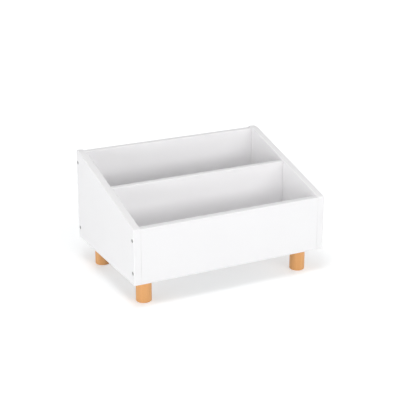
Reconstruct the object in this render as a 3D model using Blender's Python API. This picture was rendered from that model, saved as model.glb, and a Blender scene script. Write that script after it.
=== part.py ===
"""Kids bookcase: a low open-topped book bin of white lacquered boards on four turned beech legs.

Metres, +Z up. X runs along the width and the low front faces -Y. The origin is on the room's floor,
under the middle of the bin. The side boards cover the ends of the front and back boards and are
screwed and dowelled to them. The floor board hangs on dowels between the four, a divider stands in a
groove in it and parts two rows of books, and each leg screws into it with a hanger bolt. Each joint
function places its fastener and notes the bores that seat it, and every board is drilled at the end.
"""

import math

import bmesh
import bpy
from mathutils import Matrix, Vector

# Bin
WIDTH = 0.540  # over both side boards
DEPTH = 0.370  # side board, front edge to back edge
BOARD = 0.019  # thickness of the side, front and back boards
SIDE_BACK_HEIGHT = 0.246  # side board at the back
SIDE_FRONT_HEIGHT = 0.146  # side board at the front
TOP_FLAT = 0.022  # level stretch at the back of a side board's top edge
FRONT_DROP = 0.001  # front board's top below the side boards' front corners
BACK_DROP = 0.003  # back board's top below the side boards' level stretch
EASE_RADIUS = 0.002  # rounding of the edges that a hand can reach
FLOOR_BOARD = 0.016  # thickness of the floor board
FLOOR_RECESS = 0.014  # floor board's underside above the lower edge of the others
GROUND_CLEARANCE = 0.066  # room floor to the lower edge of the boards
DIVIDER_BOARD = 0.016  # thickness of the divider, which stands midway along the depth
DIVIDER_DROP = 0.003  # divider's top below the side boards' slope, at its front face
DIVIDER_GROOVE = 0.003  # depth of the groove in the floor board that the divider stands in

# Legs
LEG_DIAMETER = 0.040
LEG_GAP_X = 0.007  # leg to the side board's inner face
LEG_GAP_Y = 0.011  # leg to the front or back board's inner face
SOLE_RADIUS = 0.002  # rounding round the foot
LEG_TOP_CHAMFER = 0.001

# Socket-head screws through the side boards
SCREW_LENGTH = 0.050
SCREW_DIAMETER = 0.007
SCREW_HEAD_DIAMETER = 0.010
SCREW_HEAD_RIM = 0.0015  # straight part of the head
SCREW_HEAD_CONE = 0.0025  # countersunk part of the head
SCREW_TIP = 0.004  # blunt cone at the point
SCREW_TIP_DIAMETER = 0.0035
SCREW_SINK = 0.0005  # head below the board's face
SCREW_FROM_EDGE = 0.030  # from the lower and upper edge of the board it holds
SOCKET_FLATS = 0.004
SOCKET_DEPTH = 0.0032

# Wooden dowels
DOWEL_DIAMETER = 0.008
DOWEL_LENGTH = 0.030
DOWEL_CHAMFER = 0.001
DOWEL_SKIN = 0.007  # board left beyond a blind dowel bore
FLOOR_DOWEL_INSET = 0.080  # from the floor board's corner
DIVIDER_DOWEL_INSET = 0.035  # from the floor board's top and the divider's top

# Hanger bolts in the legs and threaded inserts in the floor board
BOLT_DIAMETER = 0.008
BOLT_IN_LEG = 0.040
BOLT_TIP = 0.006  # pointed wood-thread end
BOLT_TIP_DIAMETER = 0.003
BOLT_CHAMFER = 0.001
BOLT_RESERVE = 0.0015  # insert's top above the bolt's end
INSERT_WALL = 0.002
INSERT_CHAMFER = 0.0006
INSERT_SKIN = 0.003  # board left above an insert

# Clearances
FIT_GAP = 0.0003  # round a piece in its bore
SEAT_GAP = 0.0003  # between faces that meet

# Facets
LEG_SIDES = 40
SCREW_SIDES = 18
PEG_SIDES = 12
ROUND_STEPS = 3
OVERSHOOT = 0.001  # cutter past the face that it enters
LEVEL = 0.00001  # points this close in one direction are level

# Places that follow from the sizes
BASE = GROUND_CLEARANCE
INNER_X = WIDTH / 2 - BOARD
INNER_Y = DEPTH / 2 - BOARD
FLOOR_UNDERSIDE = BASE + FLOOR_RECESS
FLOOR_TOP = FLOOR_UNDERSIDE + FLOOR_BOARD
DIVIDER_FOOT = FLOOR_TOP - DIVIDER_GROOVE + SEAT_GAP
SLOPE = (SIDE_BACK_HEIGHT - SIDE_FRONT_HEIGHT) / (DEPTH - TOP_FLAT)
DIVIDER_TOP = BASE + SIDE_FRONT_HEIGHT + SLOPE * (DEPTH - DIVIDER_BOARD) / 2 - DIVIDER_DROP
BOARD_TOPS = {
    "front": BASE + SIDE_FRONT_HEIGHT - FRONT_DROP,
    "back": BASE + SIDE_BACK_HEIGHT - BACK_DROP,
}
BLIND_DEPTH = BOARD - DOWEL_SKIN
INSERT_LENGTH = FLOOR_BOARD - INSERT_SKIN
SIDES = {"left": -1, "right": 1}
ENDS = {"front": -1, "back": 1}


def clear_scene():
    for obj in list(bpy.data.objects):
        bpy.data.objects.remove(obj, do_unlink=True)


def principled(name, colour, roughness, metallic=0.0):
    made = bpy.data.materials.new(name)
    made.use_nodes = True
    shader = made.node_tree.nodes["Principled BSDF"]
    shader.inputs["Base Color"].default_value = (*colour, 1.0)
    shader.inputs["Roughness"].default_value = roughness
    shader.inputs["Metallic"].default_value = metallic
    return made


def add_object(name, mesh, material, root):
    obj = bpy.data.objects.new(name, mesh)
    if not mesh.materials:
        mesh.materials.append(material)
    bpy.context.scene.collection.objects.link(obj)
    obj.parent = root
    return obj


def to_mesh(name, bm):
    bmesh.ops.recalc_face_normals(bm, faces=bm.faces)
    mesh = bpy.data.meshes.new(name)
    bm.to_mesh(mesh)
    bm.free()
    return mesh


def facing(direction):
    """Rotation that turns local +Z to a direction."""
    return Vector(direction).to_track_quat("Z", "Y")


def hexagon(flats):
    """Radius of a hexagon by angle, for a ring that isn't round."""
    return lambda angle: flats / 2 / math.cos(angle % (math.pi / 3) - math.pi / 6)


def turn(bm, profile, sides, hollow=False, placed=None):
    """Turns (radius, height) points about Z into a closed body. A hollow one's last ring joins its first."""
    placed = placed or Matrix.Identity(4)
    rings = []
    for radius, height in profile:
        ring = []
        for step in range(sides):
            angle = 2 * math.pi * step / sides
            reach = radius(angle) if callable(radius) else radius
            point = Vector((reach * math.cos(angle), reach * math.sin(angle), height))
            ring.append(bm.verts.new(placed @ point))
        rings.append(ring)
    pairs = list(zip(rings, rings[1:]))
    if hollow:
        pairs.append((rings[-1], rings[0]))
    else:
        bm.faces.new(rings[0])
        bm.faces.new(rings[-1])
    for low, high in pairs:
        for step in range(sides):
            bm.faces.new((low[step - 1], low[step], high[step], high[step - 1]))


def turned_mesh(name, profile, sides, hollow=False):
    bm = bmesh.new()
    turn(bm, profile, sides, hollow)
    mesh = to_mesh(name, bm)
    mesh.shade_smooth()
    mesh.set_sharp_from_angle(angle=math.radians(40))
    return mesh


def round_corner(radius, reach, height):
    """Quarter-circle points from a flat foot at the height out to the full reach."""
    points = []
    for step in range(ROUND_STEPS + 1):
        angle = math.pi / 2 * step / ROUND_STEPS
        points.append((reach - radius + radius * math.sin(angle), height + radius - radius * math.cos(angle)))
    return points


# Boards


def extruded(outline, along):
    """A closed body from a flat outline and the vector that it is extruded by."""
    bm = bmesh.new()
    face = bm.faces.new([bm.verts.new(point) for point in outline])
    moved = bmesh.ops.extrude_face_region(bm, geom=[face])["geom"]
    verts = [part for part in moved if isinstance(part, bmesh.types.BMVert)]
    bmesh.ops.translate(bm, verts=verts, vec=along)
    bmesh.ops.recalc_face_normals(bm, faces=bm.faces)
    return bm


def ease(bm, edges):
    bmesh.ops.bevel(
        bm,
        geom=edges,
        offset=EASE_RADIUS,
        segments=ROUND_STEPS,
        profile=0.5,
        affect="EDGES",
        clamp_overlap=True,
    )


def side_board_mesh(name, side):
    """Sloping side board. Its inner edges stay square where the other boards meet it flush."""
    inner = side * INNER_X
    outline = [
        (inner, -DEPTH / 2, BASE),
        (inner, DEPTH / 2, BASE),
        (inner, DEPTH / 2, BASE + SIDE_BACK_HEIGHT),
        (inner, DEPTH / 2 - TOP_FLAT, BASE + SIDE_BACK_HEIGHT),
        (inner, -DEPTH / 2, BASE + SIDE_FRONT_HEIGHT),
    ]
    bm = extruded(outline, (side * BOARD, 0, 0))

    def meets_a_board(edge):
        ends = [vert.co for vert in edge.verts]
        on_inner_face = all(abs(co.x - inner) < LEVEL for co in ends)
        upright = abs(ends[0].y - ends[1].y) < LEVEL
        at_foot = all(abs(co.z - BASE) < LEVEL for co in ends)
        return on_inner_face and (upright or at_foot)

    ease(bm, [edge for edge in bm.edges if not meets_a_board(edge)])
    return to_mesh(name, bm)


def cross_board_mesh(name, front, back, foot, top, eased_above):
    """Board across the bin, with its long edges above a height eased and its ends square."""
    reach = INNER_X - SEAT_GAP
    outline = [(-reach, front, foot), (-reach, back, foot), (-reach, back, top), (-reach, front, top)]
    bm = extruded(outline, (2 * reach, 0, 0))

    def is_eased(edge):
        low, high = sorted(edge.verts, key=lambda vert: vert.co.x)
        return high.co.x - low.co.x > reach and low.co.z > eased_above - LEVEL

    ease(bm, [edge for edge in bm.edges if is_eased(edge)])
    return to_mesh(name, bm)


def floor_board_mesh(name):
    """Floor board with square edges and the divider's groove along the middle of its top."""
    reach_x = INNER_X - SEAT_GAP
    reach_y = INNER_Y - SEAT_GAP
    groove = DIVIDER_BOARD / 2 + FIT_GAP
    outline = [
        (-reach_x, -reach_y, FLOOR_UNDERSIDE),
        (-reach_x, reach_y, FLOOR_UNDERSIDE),
        (-reach_x, reach_y, FLOOR_TOP),
        (-reach_x, groove, FLOOR_TOP),
        (-reach_x, groove, FLOOR_TOP - DIVIDER_GROOVE),
        (-reach_x, -groove, FLOOR_TOP - DIVIDER_GROOVE),
        (-reach_x, -groove, FLOOR_TOP),
        (-reach_x, -reach_y, FLOOR_TOP),
    ]
    return to_mesh(name, extruded(outline, (2 * reach_x, 0, 0)))


def drill(board, bores, root):
    """Cuts a board's bores. A bore is its mouth, its direction into the board, its profile and its sides."""
    bm = bmesh.new()
    for mouth, direction, profile, sides in bores:
        placed = Matrix.Translation(mouth) @ facing(direction).to_matrix().to_4x4()
        turn(bm, profile, sides, placed=placed)
    cutter = bpy.data.objects.new(board.name + "_bores", to_mesh(board.name + "_bores", bm))
    bpy.context.scene.collection.objects.link(cutter)
    cutter.parent = root
    cutter.hide_render = True
    cutter.display_type = "WIRE"
    modifier = board.modifiers.new("bores", "BOOLEAN")
    modifier.operation = "DIFFERENCE"
    modifier.solver = "EXACT"
    modifier.object = cutter


# Fasteners and legs


def screw_profile():
    """From the point up to the head and down into its hexagon socket; the head's face is at height 0."""
    neck = -SCREW_HEAD_RIM - SCREW_HEAD_CONE
    return [
        (SCREW_TIP_DIAMETER / 2, -SCREW_LENGTH),
        (SCREW_DIAMETER / 2, -SCREW_LENGTH + SCREW_TIP),
        (SCREW_DIAMETER / 2, neck),
        (SCREW_HEAD_DIAMETER / 2, -SCREW_HEAD_RIM),
        (SCREW_HEAD_DIAMETER / 2, 0),
        (hexagon(SOCKET_FLATS), 0),
        (hexagon(SOCKET_FLATS), -SOCKET_DEPTH),
    ]


def dowel_profile():
    half = DOWEL_LENGTH / 2
    radius = DOWEL_DIAMETER / 2
    return [
        (radius - DOWEL_CHAMFER, -half),
        (radius, -half + DOWEL_CHAMFER),
        (radius, half - DOWEL_CHAMFER),
        (radius - DOWEL_CHAMFER, half),
    ]


def bolt_profile():
    """Height 0 is the leg's top, where the wood thread ends and the machine thread starts."""
    top = INSERT_LENGTH - BOLT_RESERVE
    radius = BOLT_DIAMETER / 2
    return [
        (BOLT_TIP_DIAMETER / 2, -BOLT_IN_LEG),
        (radius, -BOLT_IN_LEG + BOLT_TIP),
        (radius, top - BOLT_CHAMFER),
        (radius - BOLT_CHAMFER, top),
    ]


def insert_profile():
    bore = BOLT_DIAMETER / 2 + FIT_GAP
    outside = bore + INSERT_WALL
    return [
        (bore, 0),
        (outside, 0),
        (outside, INSERT_LENGTH - INSERT_CHAMFER),
        (outside - INSERT_CHAMFER, INSERT_LENGTH),
        (bore, INSERT_LENGTH),
    ]


def leg_profile():
    """Round foot, straight leg and a blind bore down from its top for the bolt."""
    radius = LEG_DIAMETER / 2
    top = FLOOR_UNDERSIDE - SEAT_GAP
    bore = BOLT_DIAMETER / 2 + FIT_GAP
    return round_corner(SOLE_RADIUS, radius, 0) + [
        (radius, top - LEG_TOP_CHAMFER),
        (radius - LEG_TOP_CHAMFER, top),
        (bore, top),
        (bore, top - BOLT_IN_LEG - FIT_GAP),
    ]


def blind_bore(diameter, depth):
    radius = diameter / 2 + FIT_GAP
    return [(radius, -OVERSHOOT), (radius, depth + FIT_GAP)]


def screw_bore():
    """Stepped bore right through a side board, from its outer face."""
    head = SCREW_HEAD_DIAMETER / 2 + FIT_GAP
    shank = SCREW_DIAMETER / 2 + FIT_GAP
    rim = SCREW_SINK + SCREW_HEAD_RIM
    return [(head, -OVERSHOOT), (head, rim), (shank, rim + SCREW_HEAD_CONE), (shank, BOARD + OVERSHOOT)]


def main():
    clear_scene()
    root = bpy.data.objects.new("bookcase", None)
    bpy.context.scene.collection.objects.link(root)

    lacquer = principled("white_lacquer", (0.90, 0.90, 0.91), 0.35)
    beech = principled("beech", (0.76, 0.40, 0.17), 0.45)
    steel = principled("zinc_steel", (0.42, 0.42, 0.43), 0.35, 1.0)
    peg_wood = principled("dowel_wood", (0.74, 0.55, 0.34), 0.7)

    meshes = {
        "screw": turned_mesh("screw", screw_profile(), SCREW_SIDES),
        "dowel": turned_mesh("dowel", dowel_profile(), PEG_SIDES),
        "leg": turned_mesh("leg", leg_profile(), LEG_SIDES),
        "leg_bolt": turned_mesh("leg_bolt", bolt_profile(), PEG_SIDES),
        "leg_insert": turned_mesh("leg_insert", insert_profile(), PEG_SIDES, hollow=True),
    }
    boards = {}
    for word, side in SIDES.items():
        name = word + "_side_panel"
        boards[word] = add_object(name, side_board_mesh(name, side), lacquer, root)
    for end, along in ENDS.items():
        name = end + "_panel"
        mesh = cross_board_mesh(name, along * DEPTH / 2, along * INNER_Y, BASE, BOARD_TOPS[end], BASE)
        boards[end] = add_object(name, mesh, lacquer, root)
    half = DIVIDER_BOARD / 2
    mesh = cross_board_mesh("divider_panel", -half, half, DIVIDER_FOOT, DIVIDER_TOP, DIVIDER_TOP)
    boards["divider"] = add_object("divider_panel", mesh, lacquer, root)
    boards["floor"] = add_object("floor_panel", floor_board_mesh("floor_panel"), lacquer, root)
    bores = {word: [] for word in boards}

    def put(name, kind, material, place, direction=(0, 0, 1)):
        obj = add_object(name, meshes[kind], material, root)
        obj.location = place
        obj.rotation_euler = facing(direction).to_euler()

    def join_with_screw(name, side_word, end, height):
        """Screw through a side board into the end of the front or back board."""
        inward = Vector((-SIDES[side_word], 0, 0))
        mouth = Vector((SIDES[side_word] * WIDTH / 2, ENDS[end] * (DEPTH - BOARD) / 2, height))
        put(name, "screw", steel, mouth + inward * SCREW_SINK, -inward)
        bores[side_word].append((mouth, inward, screw_bore(), SCREW_SIDES))
        seam = mouth + inward * (BOARD + SEAT_GAP)
        reach = SCREW_SINK + SCREW_LENGTH - BOARD - SEAT_GAP
        bores[end].append((seam, inward, blind_bore(SCREW_DIAMETER, reach), SCREW_SIDES))

    def join_with_dowel(name, outer, inner, seam, inward):
        """Dowel from a blind bore in the outer board into the edge of the inner one."""
        inward = Vector(inward)
        middle = seam + inward * (DOWEL_LENGTH / 2 - BLIND_DEPTH)
        put(name, "dowel", peg_wood, middle, inward)
        bores[outer].append((seam, -inward, blind_bore(DOWEL_DIAMETER, BLIND_DEPTH), PEG_SIDES))
        reach = DOWEL_LENGTH - BLIND_DEPTH - SEAT_GAP
        bores[inner].append((seam + inward * SEAT_GAP, inward, blind_bore(DOWEL_DIAMETER, reach), PEG_SIDES))

    # Corners: two screws with a dowel between them
    for side_word, side in SIDES.items():
        for end, along in ENDS.items():
            lower = BASE + SCREW_FROM_EDGE
            upper = BOARD_TOPS[end] - SCREW_FROM_EDGE
            corner = f"{end}_{side_word}"
            join_with_screw(f"screw_{corner}_lower", side_word, end, lower)
            join_with_screw(f"screw_{corner}_upper", side_word, end, upper)
            seam = Vector((side * INNER_X, along * (DEPTH - BOARD) / 2, (lower + upper) / 2))
            join_with_dowel(f"corner_dowel_{corner}", side_word, end, seam, (-side, 0, 0))

    # Floor board: two dowels into each of the boards round it
    floor_middle = FLOOR_UNDERSIDE + FLOOR_BOARD / 2
    for side_word, side in SIDES.items():
        for end, along in ENDS.items():
            seam = Vector((side * INNER_X, along * (INNER_Y - FLOOR_DOWEL_INSET), floor_middle))
            join_with_dowel(f"floor_dowel_{side_word}_{end}", side_word, "floor", seam, (-side, 0, 0))
            seam = Vector((side * (INNER_X - FLOOR_DOWEL_INSET), along * INNER_Y, floor_middle))
            join_with_dowel(f"floor_dowel_{end}_{side_word}", end, "floor", seam, (0, -along, 0))

    # Divider: two dowels at each end
    for side_word, side in SIDES.items():
        lower = FLOOR_TOP + DIVIDER_DOWEL_INSET
        upper = DIVIDER_TOP - DIVIDER_DOWEL_INSET
        for word, height in (("lower", lower), ("upper", upper)):
            seam = Vector((side * INNER_X, 0, height))
            join_with_dowel(f"divider_dowel_{side_word}_{word}", side_word, "divider", seam, (-side, 0, 0))

    # Legs, each on a hanger bolt in a threaded insert
    leg_x = INNER_X - LEG_GAP_X - LEG_DIAMETER / 2
    leg_y = INNER_Y - LEG_GAP_Y - LEG_DIAMETER / 2
    insert_diameter = BOLT_DIAMETER + 2 * (FIT_GAP + INSERT_WALL)
    for side_word, side in SIDES.items():
        for end, along in ENDS.items():
            corner = f"{end}_{side_word}"
            foot = Vector((side * leg_x, along * leg_y, 0))
            mouth = foot + Vector((0, 0, FLOOR_UNDERSIDE))
            put(f"leg_{corner}", "leg", beech, foot)
            put(f"leg_bolt_{corner}", "leg_bolt", steel, mouth)
            put(f"leg_insert_{corner}", "leg_insert", steel, mouth)
            bores["floor"].append((mouth, (0, 0, 1), blind_bore(insert_diameter, INSERT_LENGTH), PEG_SIDES))

    for word, board in boards.items():
        drill(board, bores[word], root)


main()
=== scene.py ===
"""Looks of the kids bookcase: lacquered boards, beech legs and zinc-plated fasteners in a white studio.

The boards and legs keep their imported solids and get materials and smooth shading. The screws, bolts,
inserts and dowels are turned again in full, with threads and flutes, in the space of their plain solids.
"""

import math

import bmesh
import bpy
from mathutils import Euler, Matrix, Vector


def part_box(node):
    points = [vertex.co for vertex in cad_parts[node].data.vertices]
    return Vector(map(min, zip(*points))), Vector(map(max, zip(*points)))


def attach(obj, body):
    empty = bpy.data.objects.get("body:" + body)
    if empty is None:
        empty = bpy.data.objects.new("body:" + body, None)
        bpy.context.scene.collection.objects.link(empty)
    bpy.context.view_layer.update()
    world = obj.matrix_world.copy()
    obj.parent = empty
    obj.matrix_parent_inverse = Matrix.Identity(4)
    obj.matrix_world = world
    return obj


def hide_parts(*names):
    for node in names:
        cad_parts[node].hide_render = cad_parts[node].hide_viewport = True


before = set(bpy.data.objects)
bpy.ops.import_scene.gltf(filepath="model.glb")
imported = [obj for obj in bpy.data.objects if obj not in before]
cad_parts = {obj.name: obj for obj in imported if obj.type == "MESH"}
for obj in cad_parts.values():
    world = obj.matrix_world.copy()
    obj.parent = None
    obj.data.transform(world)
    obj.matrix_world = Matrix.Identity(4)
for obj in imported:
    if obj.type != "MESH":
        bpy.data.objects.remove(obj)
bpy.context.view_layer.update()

# Camera, fitted to the photograph's frame of 400 x 400, in metres, degrees and millimetres
CAMERA_PLACE = (-1.2186, -2.3902, 1.1390)
CAMERA_PITCH = 19.55
CAMERA_AZIMUTH = -27.06
CAMERA_LENS = 97.2
SENSOR_WIDTH = 36.0

# Studio: soft boxes aimed at the bin (name, azimuth, elevation, distance, width, height, watts)
AIM = Vector((0.0, 0.0, 0.16))
LAMPS = [
    ("key", -42.0, 68.0, 3.0, 1.2, 1.2, 29.0),
    ("front", 14.0, 12.0, 3.2, 3.0, 0.8, 42.0),
    ("left", -76.0, 3.0, 3.2, 2.0, 0.6, 37.0),
    ("rear", 140.0, 8.0, 3.2, 2.0, 0.8, 36.0),
]
NO_GLINT = "rear"  # would glare off the level top edges, which the camera sees at a low angle
WHITE = (1.0, 1.0, 1.0)
WORLD_LEVEL = 0.36  # strength of the light from all round, which is seen at 1
FLOOR_SIZE = 30.0
FLOOR_TONE = (0.785, 0.798, 0.805)  # a little cool, against the warm light that the legs send down
FLOOR_GLOW = 0.41  # floor's own white round the bin, and far from it
FAR_GLOW = 0.80
GLOW_SPREAD = (0.45, 1.60)  # distances between which the one becomes the other

# Lacquer: tones in linear colour, how far the worn edges reach in metres, and pattern scales per metre
LACQUER_TONES = (0.885, 0.875, 0.887), (0.915, 0.912, 0.916)
LACQUER_ROUGHNESS = (0.30, 0.42)
WORN_TONE = (0.860, 0.850, 0.840)
WORN_REACH = 0.0030
WORN_SHARE = 0.3
WORN_DULLING = 0.08  # what a worn edge adds to the roughness
DRIFT_SCALE = 7.0
GLOSS_SCALE = 45.0
PEEL_SCALE = 650.0

# Wood, in the same units
BEECH_TONES = (0.850, 0.445, 0.175), (0.745, 0.360, 0.125)
DOWEL_TONES = (0.800, 0.580, 0.350), (0.700, 0.480, 0.270)
WOOD_ROUGHNESS = (0.38, 0.52)
BAND_SCALE = (42.0, 42.0, 2.5)
FIBRE_SCALE = (260.0, 260.0, 9.0)
BAND_SHARE = 0.6  # of the figure, the rest of which is fibres
FIGURE_RANGE = (0.35, 0.65)
FLECK_SCALE = (900.0, 900.0, 190.0)
FLECK_RANGE = (0.10, 0.28)  # distances from a fleck's middle, in cells, between which it fades
FLECK_TONE = (0.360, 0.170, 0.060)
FLECK_SHARE = 0.35
FLECK_DEPTH = 0.5  # against the height of the fibres
RIM_TONE = (0.500, 0.240, 0.090)
RIM_REACH = 0.0025
RIM_SHARE = 0.25

# Zinc plating, in the same units
ZINC_TONES = (0.330, 0.330, 0.340), (0.460, 0.455, 0.450)
ZINC_ROUGHNESS = (0.28, 0.45)
BLOTCH_SCALE = 420.0
GRAIN_SCALE = 1500.0
MARK_SCALE = (300.0, 300.0, 6000.0)

# Patterns that these share
NOISE_RANGE = (0.3, 0.7)  # what a noise pattern mostly keeps to
EDGE_SAMPLES = 4
EDGE_LIKENESS = 0.9  # of the rounded and the plain normal, where an edge counts in full

# Screws, in metres; their length and head come from the solids
SCREW_SHANK = 0.0070  # smooth collar and thread crest
SCREW_ROOT = 0.0050
SCREW_POINT = 0.0035
SCREW_TIP = 0.0040
SCREW_PITCH = 0.0030
SCREW_COLLAR = 0.0100
HEAD_RIM = 0.0015
HEAD_CONE = 0.0025
EDGE_BREAK = 0.0003
SOCKET_FLATS = 0.0040
SOCKET_DEPTH = 0.0032

# Hanger bolts and threaded inserts
WOOD_ROOT = 0.0056
WOOD_PITCH = 0.0035
WOOD_TIP = 0.0060
TIP_DIAMETER = 0.0030
BOLT_COLLAR = 0.0030  # smooth stretch between the two threads
MACHINE_ROOT = 0.0066
MACHINE_PITCH = 0.00125
INSERT_ROOT = 0.0106
INSERT_PITCH = 0.0030
INSERT_FIT = 0.0003  # between the bolt and the insert's thread
INNER_DEPTH = 0.0004

# Dowels
DOWEL_CHAMFER = 0.0010
FLUTE_DEPTH = 0.00025
FLUTES = 24

# Threads
TURN_RINGS = 10  # rings of points along one turn
RUN_OUT = 0.5  # turns in which the ridge dies away at each end
COARSE_SHARE = 0.55  # of the pitch that the ridge takes
FINE_SHARE = 0.95
CREST_FLAT = 1.5  # 1 is a sharp crest, and more is a flatter one

# Meshes
METAL_SIDES = 30
DOWEL_SIDES = 3 * FLUTES
SHARP_ANGLE = math.radians(30.0)
JOIN_DISTANCE = 1e-6


class Tree:
    """Small helper that adds nodes to a node tree and links them."""

    def __init__(self, tree):
        self.tree = tree
        tree.nodes.clear()

    def add(self, kind, inputs=None, **settings):
        node = self.tree.nodes.new("ShaderNode" + kind)
        for name, value in settings.items():
            setattr(node, name, value)
        for name, value in (inputs or {}).items():
            self.put(node.inputs[name], value)
        return node

    def put(self, socket, value):
        if isinstance(value, bpy.types.NodeSocket):
            self.tree.links.new(value, socket)
        else:
            socket.default_value = value

    def math(self, operation, first, second=0.0, third=0.0):
        node = self.add("Math", operation=operation)
        for socket, value in zip(node.inputs, (first, second, third)):
            self.put(socket, value)
        return node.outputs[0]

    def span(self, value, low, high, new_low=0.0, new_high=1.0):
        inputs = {"Value": value, "From Min": low, "From Max": high, "To Min": new_low, "To Max": new_high}
        return self.add("MapRange", inputs).outputs["Result"]

    def mix(self, factor, first, second):
        """Mix of two colours, put in by number, since the node has other sockets of the same names."""
        node = self.add("Mix", data_type="RGBA")
        self.put(node.inputs[0], factor)
        self.put(node.inputs[6], first)
        self.put(node.inputs[7], second)
        return node.outputs[2]

    def noise(self, vector, scale, detail=2.0, roughness=0.5):
        inputs = {"Vector": vector, "Scale": scale, "Detail": detail, "Roughness": roughness}
        return self.add("TexNoise", inputs).outputs["Fac"]

    def stretched(self, vector, scale):
        return self.add("Mapping", {"Vector": vector, "Scale": scale}).outputs["Vector"]

    def edges(self, radius):
        """1 where the surface turns within the radius, and 0 on its flat stretches."""
        rounded = self.add("Bevel", {"Radius": radius}, samples=EDGE_SAMPLES).outputs["Normal"]
        plain = self.add("NewGeometry").outputs["Normal"]
        likeness = self.add("VectorMath", {0: rounded, 1: plain}, operation="DOT_PRODUCT").outputs["Value"]
        return self.span(likeness, 1.0, EDGE_LIKENESS)

    def bump(self, height, strength, distance):
        inputs = {"Height": height, "Strength": strength, "Distance": distance}
        return self.add("Bump", inputs).outputs["Normal"]


def rgba(tone):
    return (*tone, 1.0)


# Materials


def surface(name):
    """A new material with a Principled shader, and its tree, shader and object coordinates."""
    material = bpy.data.materials.new(name)
    material.use_nodes = True
    tree = Tree(material.node_tree)
    shader = tree.add("BsdfPrincipled")
    tree.add("OutputMaterial", {"Surface": shader.outputs[0]})
    place = tree.add("TexCoord").outputs["Object"]
    return material, tree, shader, place


def lacquer(name):
    """Satin white lacquer: faint drift in tone, fine spray texture and slightly duller edges."""
    material, tree, shader, place = surface(name)
    edges = tree.edges(WORN_REACH)
    tone = tree.mix(tree.noise(place, DRIFT_SCALE, detail=3.0), *map(rgba, LACQUER_TONES))
    worn = tree.math("MULTIPLY", edges, WORN_SHARE)
    tree.put(shader.inputs["Base Color"], tree.mix(worn, tone, rgba(WORN_TONE)))
    gloss = tree.span(tree.noise(place, GLOSS_SCALE, detail=4.0), *NOISE_RANGE, *LACQUER_ROUGHNESS)
    tree.put(shader.inputs["Roughness"], tree.math("MULTIPLY_ADD", edges, WORN_DULLING, gloss))
    peel = tree.noise(place, PEEL_SCALE)
    tree.put(shader.inputs["Normal"], tree.bump(peel, strength=0.05, distance=0.0004))
    return material


def wood(name, tones):
    """Wood with its grain along Z: soft bands, fine fibres, short dark flecks and darker rims."""
    material, tree, shader, place = surface(name)
    bands = tree.noise(tree.stretched(place, BAND_SCALE), 1.0)
    fibres = tree.noise(tree.stretched(place, FIBRE_SCALE), 1.0, detail=4.0, roughness=0.6)
    cells = tree.add("TexVoronoi", {"Vector": tree.stretched(place, FLECK_SCALE), "Scale": 1.0})
    fleck = tree.span(cells.outputs["Distance"], *FLECK_RANGE, 1.0, 0.0)
    figure = tree.math("MULTIPLY_ADD", bands, BAND_SHARE, tree.math("MULTIPLY", fibres, 1.0 - BAND_SHARE))
    tone = tree.mix(tree.span(figure, *FIGURE_RANGE), *map(rgba, tones))
    flecked = tree.mix(tree.math("MULTIPLY", fleck, FLECK_SHARE), tone, rgba(FLECK_TONE))
    rim = tree.math("MULTIPLY", tree.edges(RIM_REACH), RIM_SHARE)
    tree.put(shader.inputs["Base Color"], tree.mix(rim, flecked, rgba(RIM_TONE)))
    tree.put(shader.inputs["Roughness"], tree.span(fibres, *NOISE_RANGE, *WOOD_ROUGHNESS))
    height = tree.math("SUBTRACT", fibres, tree.math("MULTIPLY", fleck, FLECK_DEPTH))
    tree.put(shader.inputs["Normal"], tree.bump(height, strength=0.12, distance=0.0004))
    return material


def zinc(name):
    """Zinc plating over turned steel, a little blotched, with fine turning marks."""
    material, tree, shader, place = surface(name)
    blotch = tree.noise(place, BLOTCH_SCALE, detail=3.0)
    tree.put(shader.inputs["Base Color"], tree.mix(blotch, *map(rgba, ZINC_TONES)))
    shader.inputs["Metallic"].default_value = 1.0
    grain = tree.noise(place, GRAIN_SCALE, detail=3.0)
    tree.put(shader.inputs["Roughness"], tree.span(grain, *NOISE_RANGE, *ZINC_ROUGHNESS))
    marks = tree.noise(tree.stretched(place, MARK_SCALE), 1.0)
    tree.put(shader.inputs["Normal"], tree.bump(marks, strength=0.08, distance=0.0001))
    return material


# Hardware


def hexagon(flats):
    """Radius of a hexagon by angle."""
    return lambda angle: flats / 2 / math.cos(angle % (math.pi / 3) - math.pi / 6)


def fluted(radius):
    """Radius of a fluted rod by angle."""
    return lambda angle: radius - FLUTE_DEPTH * (1 - math.cos(FLUTES * angle)) / 2


def thread(low, high, root, crest, pitch, share):
    """Rings of a thread between two heights, with a ridge that takes a share of the pitch."""
    steps = round((high - low) / pitch * TURN_RINGS)
    rings = []
    for step in range(steps + 1):
        height = low + (high - low) * step / steps
        grown = min(1.0, min(height - low, high - height) / (RUN_OUT * pitch))

        def radius(angle, height=height, grown=grown):
            phase = (height / pitch - angle / (2 * math.pi)) % 1.0
            ridge = CREST_FLAT * (1.0 - abs(2.0 * phase - 1.0) / share)
            return root + (crest - root) * grown * min(1.0, max(0.0, ridge))

        rings.append((radius, height))
    return rings


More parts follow.
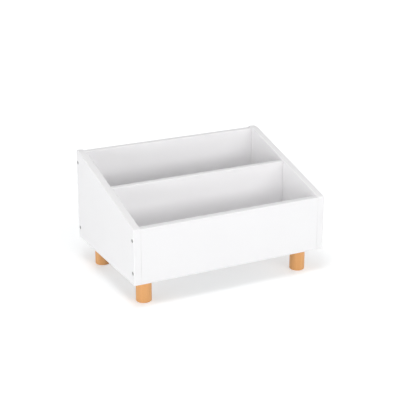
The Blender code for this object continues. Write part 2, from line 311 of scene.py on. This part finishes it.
def turned(name, rings, sides, material, hollow=False):
    """Closed mesh of rings about Z, each a radius, or a radius by angle, at a height."""
    bm = bmesh.new()
    loops = []
    for radius, height in rings:
        loop = []
        for step in range(sides):
            angle = 2 * math.pi * step / sides
            reach = radius(angle) if callable(radius) else radius
            loop.append(bm.verts.new((reach * math.cos(angle), reach * math.sin(angle), height)))
        loops.append(loop)
    pairs = list(zip(loops, loops[1:]))
    if hollow:
        pairs.append((loops[-1], loops[0]))
    else:
        bm.faces.new(loops[0])
        bm.faces.new(loops[-1])
    for low, high in pairs:
        for step in range(sides):
            bm.faces.new((low[step - 1], low[step], high[step], high[step - 1]))
    bmesh.ops.recalc_face_normals(bm, faces=bm.faces)
    mesh = bpy.data.meshes.new(name)
    bm.to_mesh(mesh)
    bm.free()
    mesh.shade_smooth()
    mesh.set_sharp_from_angle(angle=SHARP_ANGLE)
    mesh.materials.append(material)
    return mesh


def measured(name):
    """The direction that a fastener points outwards or up, its length that way, and its width across."""
    low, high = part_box(name)
    size = high - low
    axis = max(range(3), key=lambda i: size[i])
    direction = Vector((0.0, 0.0, 0.0))
    direction[axis] = math.copysign(1.0, low[axis] + high[axis])
    across = max(size[i] for i in range(3) if i != axis)
    return direction, size[axis], across


def screw_rings(length, head):
    """From the point up to the head and down into its socket. Height 0 is the head's face."""
    neck = -HEAD_RIM - HEAD_CONE
    collar = neck - SCREW_COLLAR
    rings = [(SCREW_POINT / 2, -length)]
    rings += thread(SCREW_TIP - length, collar, SCREW_ROOT / 2, SCREW_SHANK / 2, SCREW_PITCH, COARSE_SHARE)
    rings += [
        (SCREW_SHANK / 2, collar + (SCREW_SHANK - SCREW_ROOT) / 2),
        (SCREW_SHANK / 2, neck),
        (head / 2, -HEAD_RIM),
        (head / 2, -EDGE_BREAK),
        (head / 2 - EDGE_BREAK, 0.0),
        (hexagon(SOCKET_FLATS + EDGE_BREAK), 0.0),
        (hexagon(SOCKET_FLATS), -EDGE_BREAK),
        (hexagon(SOCKET_FLATS), -SOCKET_DEPTH),
    ]
    return rings


def bolt_rings(length, diameter, above):
    """From the point up the wood thread, a collar and the machine thread. Height 0 is the top."""
    radius = diameter / 2
    collar = -above - BOLT_COLLAR
    rings = [(TIP_DIAMETER / 2, -length)]
    rings += thread(WOOD_TIP - length, collar, WOOD_ROOT / 2, radius, WOOD_PITCH, COARSE_SHARE)
    rings += [(radius, collar + radius - WOOD_ROOT / 2), (radius, -above)]
    machine_low = radius - MACHINE_ROOT / 2 - above
    rings += thread(machine_low, 0.0, MACHINE_ROOT / 2, radius, MACHINE_PITCH, FINE_SHARE)
    return rings


def insert_rings(length, diameter, bolt_diameter):
    """Up the outer thread and down the inner one. Height 0 is the top."""
    bore = bolt_diameter / 2 + INSERT_FIT
    outside = thread(-length, 0.0, INSERT_ROOT / 2, diameter / 2, INSERT_PITCH, COARSE_SHARE)
    inside = thread(-length, 0.0, bore, bore + INNER_DEPTH, MACHINE_PITCH, FINE_SHARE)
    return outside + inside[::-1]


def dowel_rings(length, diameter):
    """Fluted rod with chamfered ends. Height 0 is one end."""
    rod = fluted(diameter / 2)
    end = diameter / 2 - DOWEL_CHAMFER
    return [(end, -length), (rod, DOWEL_CHAMFER - length), (rod, -DOWEL_CHAMFER), (end, 0.0)]


def stand_in(name, mesh):
    """Puts a detailed piece where a plain solid is, with height 0 at the solid's outer or upper end."""
    direction, length, _ = measured(name)
    low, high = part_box(name)
    piece = bpy.data.objects.new(name + "_detailed", mesh)
    piece.location = (low + high) / 2 + direction * length / 2
    piece.rotation_euler = direction.to_track_quat("Z", "Y").to_euler()
    bpy.context.scene.collection.objects.link(piece)
    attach(piece, "root")
    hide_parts(name)


def add_hardware(steel, raw):
    """Detailed screws, bolts, inserts and dowels, one mesh for each kind."""
    _, screw_length, head = measured("screw_front_left_lower")
    _, bolt_length, bolt = measured("leg_bolt_front_left")
    _, insert_length, insert = measured("leg_insert_front_left")
    _, dowel_length, dowel = measured("corner_dowel_front_left")
    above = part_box("leg_bolt_front_left")[1].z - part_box("leg_front_left")[1].z
    sleeve = insert_rings(insert_length, insert, bolt)
    kinds = {
        "screw": turned("screw", screw_rings(screw_length, head), METAL_SIDES, steel),
        "leg_bolt": turned("leg_bolt", bolt_rings(bolt_length, bolt, above), METAL_SIDES, steel),
        "leg_insert": turned("leg_insert", sleeve, METAL_SIDES, steel, hollow=True),
        "dowel": turned("dowel", dowel_rings(dowel_length, dowel), DOWEL_SIDES, raw),
    }
    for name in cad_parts:
        for kind, mesh in kinds.items():
            if kind in name:
                stand_in(name, mesh)


def smooth_shading():
    """Modifier group that joins a solid's triangles and shades it anew, smooth between its sharp edges."""
    group = bpy.data.node_groups.new("smooth_shading", "GeometryNodeTree")
    for way in ("INPUT", "OUTPUT"):
        group.interface.new_socket("Geometry", in_out=way, socket_type="NodeSocketGeometry")
    joined = group.nodes.new("GeometryNodeMergeByDistance")
    joined.inputs["Distance"].default_value = JOIN_DISTANCE
    unset = group.nodes.new("GeometryNodeRemoveAttribute")
    unset.inputs["Name"].default_value = "custom_normal"
    smooth = group.nodes.new("GeometryNodeSetShadeSmooth")
    sharp = group.nodes.new("GeometryNodeSetShadeSmooth")
    sharp.domain = "EDGE"
    sharp.inputs["Shade Smooth"].default_value = False
    turn = group.nodes.new("GeometryNodeInputMeshEdgeAngle")
    beyond = group.nodes.new("FunctionNodeCompare")
    beyond.inputs["B"].default_value = SHARP_ANGLE
    group.links.new(turn.outputs["Unsigned Angle"], beyond.inputs["A"])
    group.links.new(beyond.outputs["Result"], sharp.inputs["Selection"])
    start, end = group.nodes.new("NodeGroupInput"), group.nodes.new("NodeGroupOutput")
    chain = [start, joined, unset, smooth, sharp, end]
    for first, second in zip(chain, chain[1:]):
        group.links.new(first.outputs["Geometry"], second.inputs["Geometry"])
    return group


def dress():
    """Gives each solid its material, shades boards and legs smooth, and adds the fasteners in full."""
    white = lacquer("white_lacquer")
    beech = wood("beech", BEECH_TONES)
    steel = zinc("zinc_steel")
    raw = wood("dowel_wood", DOWEL_TONES)
    shading = smooth_shading()
    # Legs come last, because their bolts and inserts are named after them
    kinds = {"panel": white, "dowel": raw, "screw": steel, "bolt": steel, "insert": steel, "leg": beech}
    for name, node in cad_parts.items():
        node.data.materials.clear()
        material = next(material for kind, material in kinds.items() if kind in name)
        node.data.materials.append(material)
        if material in (white, beech):
            node.modifiers.new("smooth_shading", "NODES").node_group = shading
            node.modifiers.new("flat_faces", "WEIGHTED_NORMAL").keep_sharp = True
    add_hardware(steel, raw)


# Studio


def seen_rays(tree):
    """1 for rays from the camera, a reflection or glass, which see white, and 0 for rays that light."""
    path = tree.add("LightPath").outputs
    seen = tree.math("MAXIMUM", path["Is Camera Ray"], path["Is Glossy Ray"])
    return tree.math("MAXIMUM", seen, path["Is Transmission Ray"])


def add_world():
    """White world that lights the bin less brightly than it is seen."""
    world = bpy.data.worlds.new("studio")
    bpy.context.scene.world = world
    world.use_nodes = True
    tree = Tree(world.node_tree)
    strength = tree.span(seen_rays(tree), 0.0, 1.0, WORLD_LEVEL, 1.0)
    light = tree.add("Background", {"Color": rgba(WHITE), "Strength": strength})
    tree.add("OutputWorld", {"Surface": light.outputs[0]})


def add_floor():
    """Pale matt floor that keeps the bin's shadow and fades to white away from it."""
    mesh = bpy.data.meshes.new("floor")
    half = FLOOR_SIZE / 2
    corners = [(-half, -half, 0.0), (half, -half, 0.0), (half, half, 0.0), (-half, half, 0.0)]
    mesh.from_pydata(corners, [], [(0, 1, 2, 3)])
    floor = bpy.data.objects.new("floor", mesh)
    bpy.context.scene.collection.objects.link(floor)
    material = bpy.data.materials.new("floor_white")
    material.use_nodes = True
    tree = Tree(material.node_tree)
    matt = tree.add("BsdfDiffuse", {"Color": rgba(FLOOR_TONE)})
    place = tree.add("TexCoord").outputs["Object"]
    reach = tree.add("VectorMath", {0: place}, operation="LENGTH").outputs["Value"]
    level = tree.span(reach, *GLOW_SPREAD, FLOOR_GLOW, FAR_GLOW)
    glow = tree.add("Emission", {"Strength": tree.math("MULTIPLY", seen_rays(tree), level)})
    both = tree.add("AddShader")
    tree.put(both.inputs[0], matt.outputs[0])
    tree.put(both.inputs[1], glow.outputs[0])
    tree.add("OutputMaterial", {"Surface": both.outputs[0]})
    mesh.materials.append(material)


def add_lamps():
    """Soft boxes that face the bin."""
    for name, azimuth, elevation, distance, width, height, power in LAMPS:
        lamp = bpy.data.lights.new(name, "AREA")
        lamp.shape = "RECTANGLE"
        lamp.size, lamp.size_y = width, height
        lamp.energy = power
        soft_box = bpy.data.objects.new(name, lamp)
        facing = Euler((math.radians(90 - elevation), 0.0, math.radians(azimuth)))
        soft_box.rotation_euler = facing
        soft_box.location = AIM + facing.to_matrix() @ Vector((0.0, 0.0, distance))
        soft_box.visible_glossy = name != NO_GLINT
        bpy.context.scene.collection.objects.link(soft_box)


def add_camera():
    """Camera at the photograph's viewing angle, and colours shown as they are written."""
    lens = bpy.data.cameras.new("camera")
    lens.sensor_width = SENSOR_WIDTH
    lens.lens = CAMERA_LENS
    camera = bpy.data.objects.new("camera", lens)
    camera.location = CAMERA_PLACE
    camera.rotation_euler = (math.radians(90 - CAMERA_PITCH), 0.0, math.radians(CAMERA_AZIMUTH))
    bpy.context.scene.collection.objects.link(camera)
    bpy.context.scene.camera = camera
    bpy.context.scene.view_settings.view_transform = "Standard"


dress()
add_world()
add_floor()
add_lamps()
add_camera()
